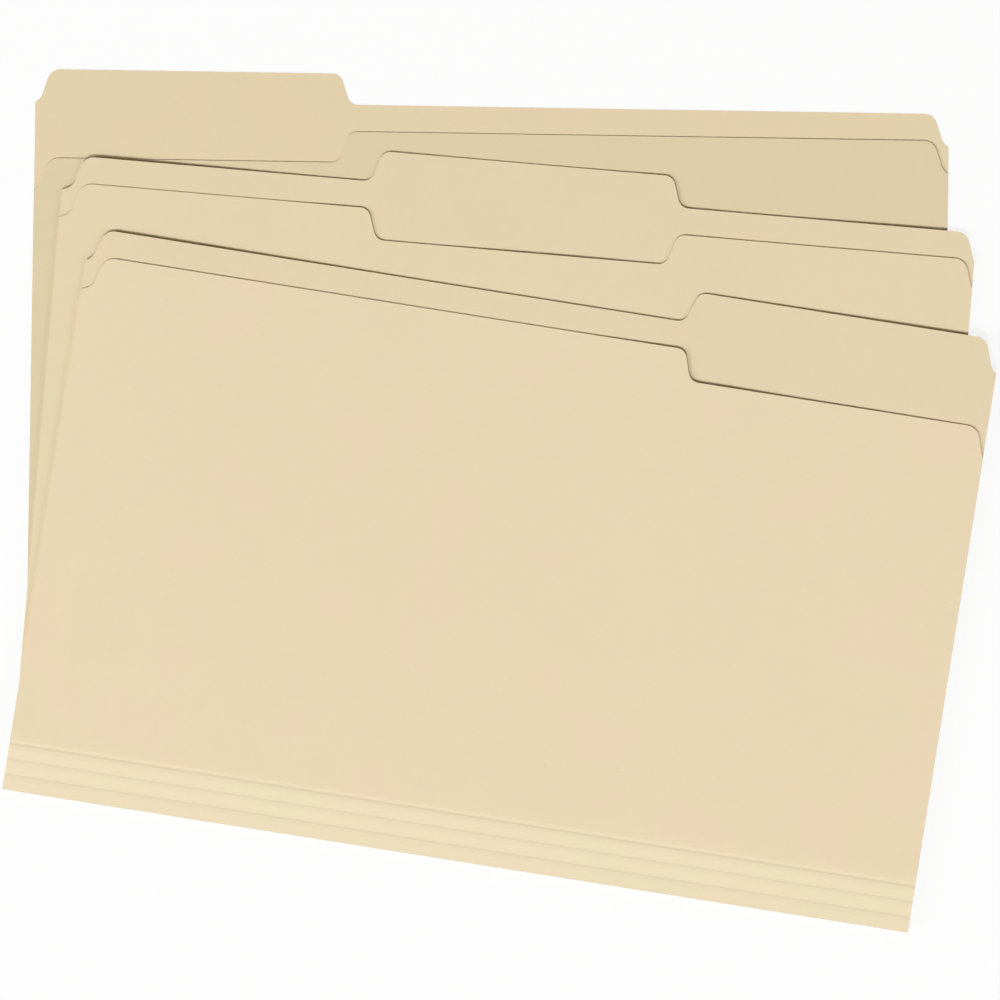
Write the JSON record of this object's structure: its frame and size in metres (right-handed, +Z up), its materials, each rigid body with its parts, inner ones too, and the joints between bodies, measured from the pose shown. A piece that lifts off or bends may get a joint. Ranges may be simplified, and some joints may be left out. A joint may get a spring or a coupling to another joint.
{
  "type": "manila folder set",
  "caption": "Fanned set of legal-size manila file folders with stepped cut tabs, each opening at its bottom fold and expanding along scored gusset creases.",
  "frame": {"origin": "on the table, under the middle of the rear (left-tab) folder's back leaf", "axes": "+X along the rear folder's fold, +Y from that fold to the tabs, +Z up"},
  "size_m": [0.4035, 0.3481, 0.0035],
  "materials": {
    "manila_card": "matte uncoated card",
    "crease": "matte, pressed card"
  },
  "bodies": {
    "left_back": {"left_back_leaf": "manila_card", "left_fold_crease": "crease"},
    "left_front": {"left_gusset_strip_1": "manila_card", "left_gusset_strip_2": "manila_card", "left_gusset_strip_3": "manila_card", "left_front_leaf": "manila_card"},
    "centre_back": {"centre_back_leaf": "manila_card", "centre_fold_crease": "crease"},
    "centre_front": {"centre_gusset_strip_1": "manila_card", "centre_gusset_strip_2": "manila_card", "centre_gusset_strip_3": "manila_card", "centre_front_leaf": "manila_card"},
    "right_back": {"right_back_leaf": "manila_card"},
    "right_fold": {"right_fold_crease": "crease"},
    "right_front": {"right_front_leaf": "manila_card"},
    "right_strip_1": {"right_gusset_strip_1": "manila_card"},
    "right_strip_2": {"right_gusset_strip_2": "manila_card"},
    "right_strip_3": {"right_gusset_strip_3": "manila_card"}
  },
  "joints": [
    {"name": "left_open", "type": "hinge", "parent": "left_back", "child": "left_front", "pos_m": [0, -0.116, 0.00051], "axis": [1, 0, 0], "range_deg": [0, 175]},
    {"name": "centre_lift", "type": "slide", "parent": "left_front", "child": "centre_back", "axis": [0, 0, 1], "range_m": [0, 0.15]},
    {"name": "centre_open", "type": "hinge", "parent": "centre_back", "child": "centre_front", "pos_m": [-0.00401, -0.1511, 0.00177], "axis": [0.9976, -0.0699, 0], "range_deg": [0, 175]},
    {"name": "right_lift", "type": "slide", "parent": "centre_front", "child": "right_back", "axis": [0, 0, 1], "range_m": [0, 0.3]},
    {"name": "right_open", "type": "hinge", "parent": "right_back", "child": "right_fold", "pos_m": [-0.01032, -0.19249, 0.00302], "axis": [0.99, -0.1409, 0], "range_deg": [0, 175]},
    {"name": "right_expand", "type": "slide", "parent": "right_fold", "child": "right_front", "axis": [0.0833, 0.5851, -0.8067], "range_m": [-0.01817, 0]},
    {"name": "right_fold_bend", "type": "hinge", "parent": "right_fold", "child": "right_strip_1", "pos_m": [-0.01032, -0.19249, 0.00302], "axis": [0.99, -0.1409, 0], "range_deg": [0, 90]},
    {"name": "right_score_1_bend", "type": "hinge", "parent": "right_strip_1", "child": "right_strip_2", "pos_m": [-0.00942, -0.18621, 0.00339], "axis": [0.99, -0.1409, 0], "range_deg": [-30, 0]},
    {"name": "right_score_2_bend", "type": "hinge", "parent": "right_strip_2", "child": "right_strip_3", "pos_m": [-0.00853, -0.17992, 0.00339], "axis": [0.99, -0.1409, 0], "range_deg": [-30, 0]}
  ],
  "couplings": [
    {"joint": "right_fold_bend", "follows": "right_expand", "rad_per_m": -86.436},
    {"joint": "right_score_1_bend", "follows": "right_expand", "rad_per_m": 28.812},
    {"joint": "right_score_2_bend", "follows": "right_expand", "rad_per_m": 28.812}
  ]
}
